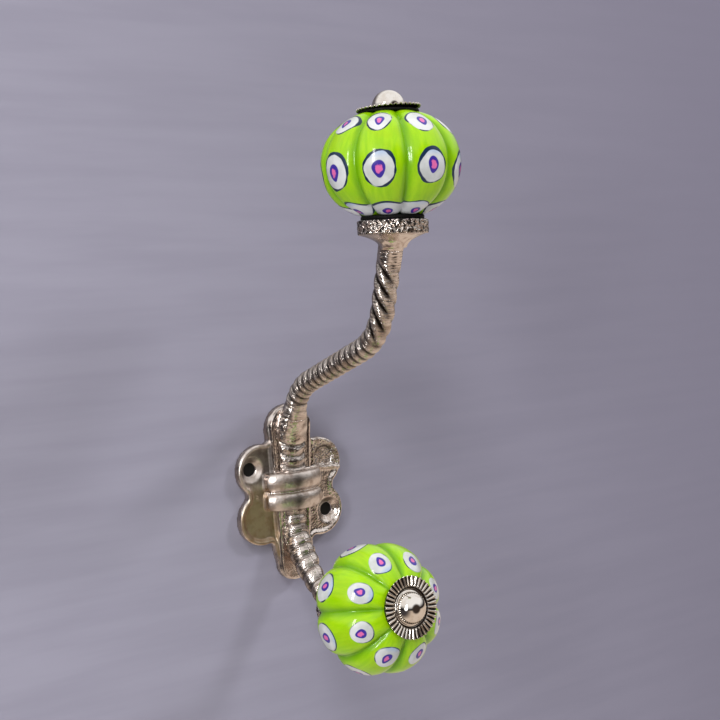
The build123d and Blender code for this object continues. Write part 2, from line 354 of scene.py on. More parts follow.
# The upper-left lobe is painted darker in its dish: painted shade.
upper_left = soft_step(2.5, 5.5, z) * soft_step(0.0, -2.0, x) * in_slab * facing
upper_left *= soft_step(0.8, 2.2, inset) * soft_step(SINK_RADIUS - 0.3, SINK_RADIUS + 0.6, hole_gap)
sink_shade = np.zeros(count)
for cx, cz in HOLE_PLACES:
    in_sink = (np.hypot(x - cx, z - cz) < SINK_RADIUS) & (y > -PLATE_THICKNESS - 0.2)
    sink_shade += in_sink * soft_step(0.8, -2.4, (x - cx) - (z - cz))
mottle = np.clip(bumps(points, 2.6, 5) * 1.8, 0, 1) * (np.abs(z) < 31) * (y > -14) * not_band
# Painted shade (upper-left lobe, countersinks, dimple, band middles) joins the real mottled stains
# in one mask.
shades_and_stains = [0.62 * upper_left, 0.62 * sink_shade, 0.42 * mottle * (x > -9) * (x < 7)]
shades_and_stains += [0.8 * crescent * in_slab, 0.8 * band_dark_reflection]
shade_and_stain = np.max([shade_and_stain, *shades_and_stains], axis=0)
satin = np.maximum(smooth_part * (1 - upper_right), 0.35 * band_face + 0.12 * right_side)
scored = on_rope * np.where(on_upper, to_ring * to_neck, 0.4)
attribute(cast_mesh, "lay", "FLOAT_VECTOR", lay)
for name, values in (("grain", grain), ("shade_and_stain", shade_and_stain), ("satin", satin), ("rope", scored)):
    attribute(cast_mesh, name, "FLOAT", values)


def wire(tree, kind, feeds=None, **settings):
    """Adds a shader node. feeds gives each input a value, or the socket that drives it."""
    node = tree.nodes.new(kind)
    for name, value in settings.items():
        setattr(node, name, value)
    for key, value in (feeds or {}).items():
        if isinstance(value, bpy.types.NodeSocket):
            tree.links.new(value, node.inputs[key])
        else:
            node.inputs[key].default_value = value
    return node


def calc(tree, operation, first, second=0.0, clamp=False):
    """One step of arithmetic between two numbers or sockets."""
    feeds = {0: first, 1: second}
    node = wire(tree, "ShaderNodeMath", feeds, operation=operation, use_clamp=clamp)
    return node.outputs[0]


def ramp(tree, value, low, high, start=0.0, end=1.0):
    """Maps value smoothly from low..high to start..end."""
    feeds = {"Value": value, "From Min": low, "From Max": high, "To Min": start, "To Max": end}
    node = wire(tree, "ShaderNodeMapRange", feeds, interpolation_type="SMOOTHSTEP")
    return node.outputs[0]


def blend_colour(tree, factor, under, over):
    """Lays one colour over another by a mask."""
    return wire(tree, "ShaderNodeMix", {0: factor, 6: under, 7: over}, data_type="RGBA").outputs[2]


def clouds(tree, place, scale, detail):
    """Smooth noise from 0 to 1."""
    feeds = {"Vector": place, "Scale": scale, "Detail": detail}
    return wire(tree, "ShaderNodeTexNoise", feeds).outputs["Fac"]


def carried(tree, name):
    """The values that a mesh carries under one name."""
    return wire(tree, "ShaderNodeAttribute", attribute_name=name).outputs["Fac"]


def finish(tree, shader, colour, rough, height, depth, strength):
    """Feeds a principled shader its colour, its roughness and a fine relief."""
    feeds = {"Height": height, "Distance": depth * MM, "Strength": strength}
    relief = wire(tree, "ShaderNodeBump", feeds).outputs["Normal"]
    for key, value in (("Base Color", colour), ("Roughness", rough), ("Normal", relief)):
        tree.links.new(value, shader.inputs[key])


def hand_out(group, result, values):
    """Joins a group's results to its named outputs."""
    for name, value in values.items():
        group.links.new(value, result.inputs[name])


def new_group(name, inputs, outputs):
    """An empty node group with named inputs and outputs."""
    group = bpy.data.node_groups.new(name, "ShaderNodeTree")
    for label, kind in inputs:
        group.interface.new_socket(label, in_out="INPUT", socket_type=f"NodeSocket{kind}")
    for label, kind in outputs:
        group.interface.new_socket(label, in_out="OUTPUT", socket_type=f"NodeSocket{kind}")
    return group, group.nodes.new("NodeGroupInput").outputs, group.nodes.new("NodeGroupOutput")


def new_material(name, **settings):
    """A material with one principled shader, and the settings that are even all over."""
    material = bpy.data.materials.new(name)
    material.use_nodes = True
    tree = material.node_tree
    shader = tree.nodes["Principled BSDF"]
    for key, value in settings.items():
        shader.inputs[key.replace("_", " ")].default_value = value
    return material, tree, shader


def plating_group():
    """Nickel plate: cloudy tarnish, fine scratches and the height of its grain."""
    group, given, result = new_group(
        "nickel_plating",
        [("Vector", "Vector"), ("Bright", "Color"), ("Dull", "Color"), ("Grain", "Float")],
        [("Color", "Color"), ("Roughness", "Float"), ("Height", "Float")],
    )
    place = given["Vector"]
    cloud = clouds(group, place, 0.45, 3.0)
    speck = clouds(group, place, 1.5, 3.0)
    cells = wire(group, "ShaderNodeTexVoronoi", {"Vector": place, "Scale": 1.25}, feature="F1")
    dull = ramp(group, cloud, 0.42, 0.7)
    colour = blend_colour(group, dull, given["Bright"], given["Dull"])
    rough = ramp(group, cloud, 0.3, 0.75, 0.05, 0.2)
    specks = calc(group, "MULTIPLY", speck, 0.12)
    rough = calc(group, "ADD", rough, calc(group, "MULTIPLY", specks, given["Grain"]))
    lumps = calc(group, "MULTIPLY", cells.outputs["Distance"], 0.7)
    height = calc(group, "ADD", speck, lumps)
    height = calc(group, "MULTIPLY", height, given["Grain"])
    hand_out(group, result, {"Color": colour, "Roughness": rough, "Height": height})
    return group


plating = plating_group()
cast_nickel, tree, shader = new_material("nickel_casting", Metallic=1.0)
place = wire(tree, "ShaderNodeAttribute", attribute_name="lay").outputs["Vector"]
grain_mask = carried(tree, "grain")
shade_and_stain_mask = carried(tree, "shade_and_stain")
rope_mask = carried(tree, "rope")
satin_mask = carried(tree, "satin")
feeds = {"Vector": place, "Bright": srgb(224, 215, 209), "Dull": srgb(188, 173, 164)}
feeds["Grain"] = grain_mask
skin_node = wire(tree, "ShaderNodeGroup", feeds, node_tree=plating)
stretch = {"Vector": place, "Scale": (0.5, 2.6, 1.0)}
long_grain = wire(tree, "ShaderNodeMapping", stretch).outputs[0]
grooves = ramp(tree, clouds(tree, long_grain, 1.0, 2.0), 0.4, 0.6)
grooves = calc(tree, "MULTIPLY", grooves, rope_mask)
scoring = calc(tree, "MULTIPLY", grooves, 0.22)
height = calc(tree, "ADD", skin_node.outputs["Height"], scoring)
tarnish = calc(tree, "MULTIPLY", calc(tree, "SUBTRACT", rope_mask, grooves), 0.12)
colour = blend_colour(tree, tarnish, skin_node.outputs["Color"], srgb(140, 116, 100))
# Painted shade in creases and recesses, together with real stains, darkens the colour here.
colour = blend_colour(tree, shade_and_stain_mask, colour, srgb(30, 24, 21))
yellowed = ramp(tree, satin_mask, 0.5, 1.0, 0.0, 0.6)
colour = blend_colour(tree, yellowed, colour, srgb(164, 138, 92))
pits = ramp(tree, clouds(tree, place, 1.1, 2.5), 0.5, 0.43)
pits = calc(tree, "MULTIPLY", pits, ramp(tree, grain_mask, 0.65, 0.98))
colour = blend_colour(tree, calc(tree, "MULTIPLY", pits, 0.95), colour, srgb(26, 21, 19))
rough = calc(tree, "MULTIPLY", shade_and_stain_mask, 0.15)
rough = calc(tree, "ADD", skin_node.outputs["Roughness"], rough)
rough = calc(tree, "ADD", rough, ramp(tree, satin_mask, 0.0, 0.45, 0.0, 0.3))
finish(tree, shader, colour, rough, height, 0.42, 1.0)

cast_mesh.materials.clear()
cast_mesh.materials.append(cast_nickel)
cast_mesh.polygons.foreach_set("use_smooth", np.ones(len(cast_mesh.polygons), bool))
casting = in_scene("hook_cast_iron", cast_mesh)
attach(casting, "root")
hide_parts("hook_casting")


# Seat washers: a black rubber ring between each cup and its ceramic knob.
# Each is punched from sheet, and the tightened screw squeezes it a little proud at its edge.
SEAT_RADIUS = 9.6
SEAT_THICKNESS = 1.2
WASHER_BORE = 2.2
SQUEEZED_EDGE = 1.5
EDGE_WOBBLE = 0.12
EDGE_DRAWN_IN = 0.08


def spun_profile(marks, steps):
    """A closed shape turned round the Z axis from its half section, as (distance out, height)."""
    shape = bmesh.new()
    verts = [shape.verts.new((out, 0, height)) for out, height in marks]
    edges = [shape.edges.new(pair) for pair in zip(verts, verts[1:])]
    if marks[0][0] > 0:
        edges.append(shape.edges.new((verts[-1], verts[0])))
    bmesh.ops.spin(
        shape,
        geom=verts + edges,
        axis=(0, 0, 1),
        cent=(0, 0, 0),
        angle=2 * math.pi,
        steps=steps,
        use_merge=True,
    )
    bmesh.ops.remove_doubles(shape, verts=shape.verts, dist=0.0005)
    bmesh.ops.recalc_face_normals(shape, faces=shape.faces)
    return shape


def place_piece(shape, name, joint_name, material, body, node):
    """Sets a shape made along its screw into the hook, and gives it its finish and its body."""
    mesh = bpy.data.meshes.new(name)
    shape.transform(Matrix.Scale(MM, 4) @ stack_frame(joint_name))
    for face in shape.faces:
        face.smooth = True
    shape.to_mesh(mesh)
    shape.free()
    mesh.materials.append(material)
    piece = in_scene(name, mesh)
    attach(piece, body)
    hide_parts(node)
    return piece


def rubber_ring(radius, low, high):
    """A punched ring with its outer edge squeezed out round."""
    bulge = (high - low) / 2
    middle = (low + high) / 2
    swell = bulge * 0.5
    marks = [(WASHER_BORE, low), (WASHER_BORE, high)]
    for step in np.linspace(math.pi / 2, -math.pi / 2, 9):
        out = radius - swell + swell * math.cos(step)
        marks.append((out, middle + bulge * math.sin(step)))
    ring = spun_profile(marks, 96)
    for vert in ring.verts:
        out = math.hypot(vert.co.x, vert.co.y)
        if out > radius - SQUEEZED_EDGE:
            wobble = noise.noise(Vector((vert.co.x, vert.co.y, radius)) * 0.35) * EDGE_WOBBLE
            vert.co.x *= 1 + (wobble - EDGE_DRAWN_IN) / out
            vert.co.y *= 1 + (wobble - EDGE_DRAWN_IN) / out
    return ring


rubber, tree, shader = new_material("seat_rubber", Specular_IOR_Level=0.2)
place = wire(tree, "ShaderNodeTexCoord").outputs["Object"]
dust = clouds(tree, place, 900.0, 5.0)
film = ramp(tree, clouds(tree, place, 160.0, 2.0), 0.45, 0.75)
colour = blend_colour(tree, film, srgb(7, 6, 7), srgb(18, 16, 16))
rough = ramp(tree, dust, 0.3, 0.7, 0.6, 0.85)
finish(tree, shader, colour, rough, dust, 0.05, 0.6)

for end in ("upper", "lower"):
    place_piece(
        rubber_ring(SEAT_RADIUS, 0.0, SEAT_THICKNESS),
        f"{end}_seat_ring",
        f"{end}_knob_turn",
        rubber,
        "root",
        f"{end}_seat_washer",
    )


# Ceramic knobs: pressed white earthenware melons with eight lobes and a hole for the screw.
# They are dipped in lime glaze, and three rows of rings are painted by hand on the lobes:
# a white oval, a thin navy outline, an indigo ring and a pink middle, under a clear gloss.
KNOB_LENGTH = 30.0
KNOB_END_RADIUS = 9.0
KNOB_END_RINGS = (7.6, 6.0, 4.0)
KNOB_BORE = 2.08
SIDE_ARC = 15.375
SIDE_ARC_CENTRE = 5.625
LOBES = 8
LOBE_ANGLE = 2 * math.pi / LOBES
GROOVE_DEPTH = 2.0
GROOVE_START = 6.5
GROOVE_FADE = 6.0
UNEVENNESS = 0.14
PAINTS = ("White", "Line", "Blue", "Pink", "Smear")
BRUSH_WANDER = 1.7
KNOB_TURNS = {"upper": 0.0, "lower": math.radians(15.0)}


def melon(turn, seed):
    """A barrel of revolution, spun from one arc, then pressed in between its lobes."""
    shape = bmesh.new()
    middle = SEAT_THICKNESS + KNOB_LENGTH / 2
    half = KNOB_LENGTH / 2
    start = shape.verts.new((KNOB_END_RADIUS, 0, -half))
    sweep = 2 * math.atan2(half, KNOB_END_RADIUS - SIDE_ARC_CENTRE)
    arc = bmesh.ops.spin(
        shape,
        geom=[start],
        axis=(0, -1, 0),
        cent=(SIDE_ARC_CENTRE, 0, 0),
        angle=sweep,
        steps=88,
        use_merge=False,
    )["geom_last"]
    top = next(v for v in arc if isinstance(v, bmesh.types.BMVert))
    low = [start]
    high = [top]
    for out in (*KNOB_END_RINGS, KNOB_BORE):
        low.append(shape.verts.new((out, 0, -half)))
        high.append(shape.verts.new((out, 0, half)))
    for chain in (low, high):
        for pair in zip(chain, chain[1:]):
            shape.edges.new(pair)
    shape.edges.new((low[-1], high[-1]))
    bmesh.ops.spin(
        shape,
        geom=shape.verts[:] + shape.edges[:],
        axis=(0, 0, 1),
        cent=(0, 0, 0),
        angle=2 * math.pi,
        steps=LOBES * 32,
        use_merge=True,
    )
    bmesh.ops.remove_doubles(shape, verts=shape.verts, dist=0.001)
    bmesh.ops.recalc_face_normals(shape, faces=shape.faces)
    for vert in shape.verts:
        out = math.hypot(vert.co.x, vert.co.y)
        if out < GROOVE_START:
            continue
        angle = math.atan2(vert.co.y, vert.co.x) - turn
        lean = 0.02 * math.sin(3 * angle + seed) + 0.012 * vert.co.z / half
        across = ((angle + lean) / LOBE_ANGLE + 0.5) % 1 * 2 - 1
        pinch = 0.84 * abs(across) ** 2.7 + 0.16 * math.exp(-(((1 - abs(across)) / 0.13) ** 2))
        fade = min(1.0, max(0.0, (out - GROOVE_START) / GROOVE_FADE))
        swell = noise.noise(vert.co * 0.11 + Vector((seed, 0, 0)))
        press = GROOVE_DEPTH * pinch * fade + UNEVENNESS * (0.4 - swell) * fade
        ring = Vector((vert.co.x, vert.co.y, 0)).normalized()
        off_arc = out - SIDE_ARC_CENTRE
        way = Vector((ring.x * off_arc, ring.y * off_arc, vert.co.z))
        vert.co -= way.normalized() * press
    bmesh.ops.translate(shape, verts=shape.verts, vec=(0, 0, middle))
    return shape


def distance(tree, side, rise):
    """How far apart two points are that lie side and rise from each other."""
    sides = calc(tree, "MULTIPLY", side, side), calc(tree, "MULTIPLY", rise, rise)
    return calc(tree, "SQRT", calc(tree, "ADD", *sides))


def melon_place_group():
    """Where a point lies: round from its lobe's crown, along the lobe, on which, how far out."""
    group, given, result = new_group(
        "lobe_place",
        [("Vector", "Vector")],
        [("Around", "Float"), ("Along", "Float"), ("Lobe", "Float"), ("Edge", "Float")],
    )
    sides = wire(group, "ShaderNodeSeparateXYZ", {0: given["Vector"]}).outputs
    out = distance(group, sides[0], sides[1])
    angle = calc(group, "ARCTAN2", sides[1], sides[0])
    turns = calc(group, "DIVIDE", angle, LOBE_ANGLE)
    whole = calc(group, "ROUND", turns)
    from_crown = calc(group, "SUBTRACT", turns, whole)
    around = calc(group, "MULTIPLY", calc(group, "MULTIPLY", from_crown, LOBE_ANGLE), out)
    lift = calc(group, "ARCTAN2", sides[2], calc(group, "SUBTRACT", out, SIDE_ARC_CENTRE * MM))
    along = calc(group, "MULTIPLY", lift, SIDE_ARC)
    lobe = calc(group, "FLOORED_MODULO", whole, LOBES)
    edge = calc(group, "MULTIPLY", calc(group, "ABSOLUTE", from_crown), 2.0)
    around = calc(group, "DIVIDE", around, MM)
    hand_out(group, result, {"Around": around, "Along": along, "Lobe": lobe, "Edge": edge})
    return group


def painted_ring_group():
    """One row of hand-painted rings, as masks for each of its colours."""
    measures = ("Around", "Along", "Lobe", "Seed", "Row")
    measures += ("Half Width", "Half Height", "Outline", "Ring")
    group, given, result = new_group(
        "painted_ring",
        [(name, "Float") for name in measures],
        [(name, "Float") for name in PAINTS],
    )

    def draws(seed):
        key = wire(group, "ShaderNodeCombineXYZ", {0: given["Lobe"], 1: seed, 2: given["Row"]})
        feeds = {"Vector": key.outputs[0]}
        dice = wire(group, "ShaderNodeTexWhiteNoise", feeds, noise_dimensions="3D")
        return wire(group, "ShaderNodeSeparateColor", {0: dice.outputs["Color"]}).outputs

    luck = draws(given["Seed"])
    other = draws(calc(group, "ADD", given["Seed"], 31.0))

    def centred(value, span):
        return calc(group, "MULTIPLY", calc(group, "SUBTRACT", value, 0.5), span)

    shift = calc(group, "MULTIPLY", calc(group, "ADD", given["Lobe"], given["Seed"]), 19.0)
    brush = wire(group, "ShaderNodeCombineXYZ", {0: given["Around"], 1: given["Along"], 2: shift})
    feeds = {"Vector": brush.outputs[0], "Scale": 0.12, "Detail": 0.5}
    wander = wire(group, "ShaderNodeTexNoise", feeds)
    wander = wire(group, "ShaderNodeSeparateColor", {0: wander.outputs["Color"]}).outputs
    across = calc(group, "SUBTRACT", given["Around"], centred(luck[0], 1.1))
    across = calc(group, "ADD", across, centred(wander[0], BRUSH_WANDER))
    up = calc(group, "SUBTRACT", given["Along"], given["Row"])
    up = calc(group, "SUBTRACT", up, centred(luck[1], 1.3))
    up = calc(group, "ADD", up, centred(wander[1], BRUSH_WANDER))
    width = calc(group, "ADD", given["Half Width"], centred(luck[2], 0.7))
    height = calc(group, "ADD", given["Half Height"], centred(other[0], 0.8))

    rise = calc(group, "DIVIDE", up, height)
    reach = distance(group, calc(group, "DIVIDE", across, width), rise)
    white = ramp(group, reach, 0.96, 1.03, 1.0, 0.0)
    off_line = calc(group, "ABSOLUTE", calc(group, "SUBTRACT", reach, 0.98))
    off_line = calc(group, "MULTIPLY", off_line, given["Half Width"])
    press = clouds(group, brush.outputs[0], 0.25, 1.5)
    topward = ramp(group, rise, -0.9, 1.0, 0.0, 0.16)
    thick = ramp(group, calc(group, "ADD", press, topward), 0.3, 0.85, 0.08, 0.6)
    thick = calc(group, "MULTIPLY", thick, given["Outline"])
    line = ramp(group, calc(group, "SUBTRACT", off_line, thick), -0.1, 0.12, 1.0, 0.0)
    line = calc(group, "MULTIPLY", line, ramp(group, thick, 0.04, 0.15))
    smear = calc(group, "MULTIPLY", ramp(group, rise, 0.45, 0.95), white)
    smear = calc(group, "MULTIPLY", smear, ramp(group, other[1], 0.35, 0.7))
    inner_across = calc(group, "ADD", across, centred(other[1], 0.9))
    inner_up = calc(group, "ADD", up, centred(other[2], 1.0))
    inner_rise = calc(group, "DIVIDE", inner_up, given["Ring"])
    drop = ramp(group, inner_rise, -1.3, 0.5, 0.5, 0.8)
    inner_width = calc(group, "MULTIPLY", given["Ring"], drop)
    inner = distance(group, calc(group, "DIVIDE", inner_across, inner_width), inner_rise)
    flecks = clouds(group, brush.outputs[0], 0.75, 1.0)
    blue = ramp(group, inner, 0.94, 1.06, 1.0, 0.0)
    gap = ramp(group, flecks, 0.25, 0.75, 0.16, -0.1)
    pink_edge = calc(group, "ADD", inner, gap)
    pink = ramp(group, pink_edge, 0.44, 0.6, 1.0, 0.0)
    hand_out(group, result, dict(zip(PAINTS, (white, line, blue, pink, smear))))
    return group


lobe_place = melon_place_group()
painted_ring = painted_ring_group()
RING_ROWS = {
    "upper": [(-2.6, 4.9, 5.3, 2.5), (12.6, 3.8, 4.2, 1.9), (-17.2, 4.3, 4.4, 1.9)],
    "lower": [(-1.6, 4.6, 5.0, 2.2), (13.2, 3.7, 3.9, 1.9), (-15.6, 4.2, 3.8, 1.9)],
}
OUTLINES = {"upper": 1.0, "lower": 0.42}
SEEDS = {"upper": 3.0, "lower": 8.0}


def knob_paint(end):
    """Lime glaze with its painted rings, turned to suit one knob."""
    material, tree, shader = new_material(
        f"{end}_knob_glaze",
        Coat_IOR=1.42,
        Coat_Roughness=0.045,
        Specular_IOR_Level=0.18,
    )
    into = stack_frame(f"{end}_knob_turn") @ Matrix.Translation((0, 0, SEAT_TO_MIDDLE))
    into = into @ Matrix.Rotation(KNOB_TURNS[end], 4, "Z")
    place = wire(tree, "ShaderNodeTexCoord").outputs["Object"]
    feeds = {"Vector": place, "Location": into.translation * MM, "Rotation": into.to_euler()}
    local = wire(tree, "ShaderNodeMapping", feeds, vector_type="TEXTURE").outputs[0]
    spot = wire(tree, "ShaderNodeGroup", {"Vector": local}, node_tree=lobe_place)
    masks = dict.fromkeys(PAINTS, 0.0)
    for number, (row, half_width, half_height, ring) in enumerate(RING_ROWS[end]):
        feeds = {name: spot.outputs[name] for name in ("Around", "Along", "Lobe")}
        feeds |= {"Seed": SEEDS[end] + number, "Row": row, "Ring": ring}
        feeds |= {"Half Width": half_width, "Half Height": half_height}
        feeds["Outline"] = OUTLINES[end] * (1.0 if number == 0 else 0.65)
        dots = wire(tree, "ShaderNodeGroup", feeds, node_tree=painted_ring)
        for name in masks:
            masks[name] = calc(tree, "MAXIMUM", dots.outputs[name], masks[name])
    stroke_feeds = {0: spot.outputs["Around"], 1: spot.outputs["Along"], 2: spot.outputs["Lobe"]}
    strokes = wire(tree, "ShaderNodeCombineXYZ", stroke_feeds).outputs[0]
    feeds = {"Vector": strokes, "Scale": (0.5, 0.09, 3.1)}
    streak = clouds(tree, wire(tree, "ShaderNodeMapping", feeds).outputs[0], 1.6, 5.0)
    mottle = clouds(tree, strokes, 0.16, 3.0)
    streaked = ramp(tree, streak, 0.36, 0.66)
    green = blend_colour(tree, streaked, srgb(136, 188, 0), srgb(150, 197, 2))
    clouded = ramp(tree, mottle, 0.48, 0.75, 0.0, 0.5)
    green = blend_colour(tree, clouded, green, srgb(146, 180, 0))
    pooled = ramp(tree, spot.outputs["Edge"], 0.66, 1.0, 0.0, 0.75)
    green = blend_colour(tree, pooled, green, srgb(80, 142, 0))
    thin = ramp(tree, mottle, 0.35, 0.65)
    enamel = blend_colour(tree, thin, srgb(178, 182, 180), srgb(200, 203, 203))
    colour = blend_colour(tree, masks["White"], green, enamel)
    smear = calc(tree, "MULTIPLY", masks["Smear"], 0.6)
    colour = blend_colour(tree, smear, colour, srgb(128, 160, 206))
    colour = blend_colour(tree, masks["Line"], colour, srgb(16, 38, 66))
    colour = blend_colour(tree, masks["Blue"], colour, srgb(52, 38, 138))
    colour = blend_colour(tree, masks["Pink"], colour, srgb(204, 98, 156))
    rough = ramp(tree, streak, 0.3, 0.75, 0.28, 0.5)
    height = calc(tree, "ADD", calc(tree, "MULTIPLY", streak, 0.5), masks["White"])
    finish(tree, shader, colour, rough, height, 0.06, 0.5)
    gloss = ramp(tree, mottle, 0.25, 0.8, 0.75, 0.5)
    tree.links.new(gloss, shader.inputs["Coat Weight"])
    return material


for end in ("upper", "lower"):
    place_piece(
        melon(KNOB_TURNS[end], SEEDS[end]),
        f"{end}_ceramic_melon",
        f"{end}_knob_turn",
        knob_paint(end),
        f"{end}_knob",
        f"{end}_knob",
    )


# Front gaskets: a thinner black rubber ring under each metal rosette.
# It keeps the pressed metal off the glaze, and shows as a dark line round the rosette's foot.
GASKET_RADII = {"upper": 9.1, "lower": 8.5}
GASKET_THICKNESS = 0.8
KNOB_TOP = SEAT_THICKNESS + KNOB_LENGTH

for end in ("upper", "lower"):
    place_piece(
        rubber_ring(GASKET_RADII[end], KNOB_TOP, KNOB_TOP + GASKET_THICKNESS),
        f"{end}_gasket_ring",
        f"{end}_knob_turn",
        rubber,
        "root",
        f"{end}_front_gasket",
    )


# Rosettes: a dished washer of thin plated steel under each screw's head.
# It is pressed with a ring of radial flutes, which leave its rim wavy. The lower one has
# slipped a little to one side on its loose bore, and the upper one sits slightly askew.
ROSETTE_RADIUS = 9.65
ROSETTE_BORE = 2.8
ROSETTE_SHEET = 0.34
ROSETTE_FLUTES = 38
FLUTE_START = 6.1
FLUTE_FADE = 0.8
FLUTE_HEIGHT = 0.33
FLUTE_DRAWN_IN = 0.006
SHADE_EDGE = 6.4
SHADE_STRENGTH = 1.3
ROSETTE_SLIPS = {"upper": 0.0, "lower": 0.7}
ROSETTE_LEANS = {"upper": math.radians(-3.0), "lower": 0.0}
LEAN_AXIS = Vector((0.57, 0.82, 0.0))


def fluted_washer(slip, lean):
    """A flat ring that rises into flutes towards its rim, from one spun section."""
    shape = bmesh.new()
    marks = [(ROSETTE_BORE, 0.0), (4.4, 0.0), (5.8, 0.0), (6.0, 0.06), (6.15, 0.3), (6.35, 0.42)]
    marks += [(out, 0.46 + 0.1 * (out - 6.6) / 3.0) for out in np.linspace(6.6, 9.5, 13)]
    marks += [(ROSETTE_RADIUS, 0.54)]
    verts = [shape.verts.new((out, 0, height)) for out, height in marks]
    edges = [shape.edges.new(pair) for pair in zip(verts, verts[1:])]
    bmesh.ops.spin(
        shape,
        geom=verts + edges,
        axis=(0, 0, 1),
        cent=(0, 0, 0),
        angle=2 * math.pi,
        steps=ROSETTE_FLUTES * 10,
        use_merge=True,
    )
    bmesh.ops.remove_doubles(shape, verts=shape.verts, dist=0.001)
    bmesh.ops.recalc_face_normals(shape, faces=shape.faces)
    if sum(face.normal.z for face in shape.faces) < 0:
        bmesh.ops.reverse_faces(shape, faces=shape.faces)
    hollow_shade = shape.verts.layers.float.new("hollow_shade")
    for vert in shape.verts:
        out = math.hypot(vert.co.x, vert.co.y)
        angle = math.atan2(vert.co.y, vert.co.x)
        press = min(1.0, max(0.0, (out - FLUTE_START) / FLUTE_FADE))
        uneven = 0.8 + 0.35 * noise.noise(Vector((math.cos(angle), math.sin(angle), slip)) * 2.6)
        wave = math.cos(ROSETTE_FLUTES * angle + 0.25 * math.sin(3 * angle))
        wave = math.copysign(abs(wave) ** 0.7, wave)
        # The foot ring round the dome and the flute valleys are painted dark: painted shade.
        foot_shade = max(0.0, SHADE_STRENGTH - abs(out - FLUTE_START) / 0.4)
        flute_shade = press * max(0, -wave) * SHADE_STRENGTH
        vert[hollow_shade] = foot_shade if out < SHADE_EDGE else flute_shade
        vert.co.z += FLUTE_HEIGHT * press * uneven * wave
        vert.co.x *= 1 - FLUTE_DRAWN_IN * press * (1 - wave)
        vert.co.y *= 1 - FLUTE_DRAWN_IN * press * (1 - wave)
    front = shape.faces[:]
    bmesh.ops.solidify(shape, geom=front, thickness=ROSETTE_SHEET)
    shape.transform(Matrix.Rotation(lean, 4, LEAN_AXIS))
    base = KNOB_TOP + GASKET_THICKNESS + ROSETTE_SHEET
    bmesh.ops.translate(shape, verts=shape.verts, vec=(slip, 0, base))
    return shape


def polished_nickel(name, bright, dull, shine):
    """Bright nickel over smooth steel, with fine scratches and painted shade in its hollows."""
    material, tree, shader = new_material(name, Metallic=1.0)
    place = wire(tree, "ShaderNodeTexCoord").outputs["Object"]
    feeds = {"Vector": place, "Scale": (1000, 1000, 1000)}
    place = wire(tree, "ShaderNodeMapping", feeds).outputs[0]
    feeds = {"Vector": place, "Bright": bright, "Dull": dull, "Grain": 0.12}
    skin_node = wire(tree, "ShaderNodeGroup", feeds, node_tree=plating)
    hollow_shade_mask = carried(tree, "hollow_shade")
    # Painted shade darkens the hollows here.
    colour = blend_colour(tree, hollow_shade_mask, skin_node.outputs["Color"], srgb(30, 24, 22))
    rough = calc(tree, "MULTIPLY", skin_node.outputs["Roughness"], shine)
    rough = calc(tree, "ADD", rough, calc(tree, "MULTIPLY", hollow_shade_mask, 0.3))
    finish(tree, shader, colour, rough, skin_node.outputs["Height"], 0.1, 0.35)
    return material


rosette_nickel = polished_nickel("rosette_nickel", srgb(232, 226, 218), srgb(200, 186, 170), 0.9)
for end in ("upper", "lower"):
    place_piece(
        fluted_washer(ROSETTE_SLIPS[end], ROSETTE_LEANS[end]),
        f"{end}_fluted_rosette",
        f"{end}_knob_turn",
        rosette_nickel,
        "root",
        f"{end}_rosette",
    )


# Dome screws: one polished, domed screw holds each knob to its cup.
# The head is turned with a thin flange, and the shank runs through the knob into the casting.
DOME_RADIUS = 4.95
FLANGE_RADIUS = 5.5
FLANGE_THICKNESS = 0.6
SHANK_RADIUS = 2.0
SHANK_TIP = -7.8
UNDER_HEAD = KNOB_TOP + GASKET_THICKNESS + 0.5


def domed_screw():
    """Shank, flange and dome, turned in one."""
    foot = UNDER_HEAD + FLANGE_THICKNESS
    marks = [(0.0, SHANK_TIP), (SHANK_RADIUS - 0.4, SHANK_TIP), (SHANK_RADIUS, SHANK_TIP + 0.4)]
    marks += [(SHANK_RADIUS, UNDER_HEAD), (FLANGE_RADIUS - 0.1, UNDER_HEAD)]
    marks += [(FLANGE_RADIUS, UNDER_HEAD + 0.12), (FLANGE_RADIUS, foot - 0.2)]
    marks += [(FLANGE_RADIUS - 0.06, foot - 0.07), (FLANGE_RADIUS - 0.2, foot)]
    marks += [(DOME_RADIUS + 0.14, foot + 0.01), (DOME_RADIUS + 0.03, foot + 0.08)]
    for step in np.linspace(0.03, math.pi / 2, 30):
        marks.append((DOME_RADIUS * math.cos(step), foot + DOME_RADIUS * math.sin(step)))
    marks[-1] = (0.0, foot + DOME_RADIUS)
    return spun_profile(marks, 96)


dome_nickel = polished_nickel("dome_nickel", srgb(236, 232, 226), srgb(222, 214, 204), 0.42)
for end in ("upper", "lower"):
    place_piece(
        domed_screw(),
        f"{end}_domed_screw",
        f"{end}_knob_turn",
        dome_nickel,
        "root",
        f"{end}_dome_screw",
    )


# Stage: a painted wall that the hook is screwed to, a pale floor well below it, and soft light.
# The wall shows only from the front, so the hook's back can be looked at as well.
WALL_HALF = 0.75
WALL_GAP = 0.0002
FLOOR_HALF = 2.5
FLOOR_DROP = 0.42


def sheet(name, size, turn, place, material):
    """A plain square of wall or floor."""
    shape = bmesh.new()
    bmesh.ops.create_grid(shape, x_segments=1, y_segments=1, size=size)
    shape.transform(Matrix.Translation(place) @ turn)
    mesh = bpy.data.meshes.new(name)
    shape.to_mesh(mesh)
    shape.free()
    mesh.materials.append(material)
    piece = in_scene(name, mesh)
    return piece


wall_paint, tree, shader = new_material("wall_paint", Roughness=0.75)
place = wire(tree, "ShaderNodeTexCoord").outputs["Object"]
long_way = wire(tree, "ShaderNodeMapping", {"Vector": place, "Scale": (14, 14, 150)}).outputs[0]
tone = ramp(tree, clouds(tree, long_way, 1.0, 4.0), 0.3, 0.7)
colour = blend_colour(tree, tone, srgb(149, 147, 162), srgb(157, 155, 170))
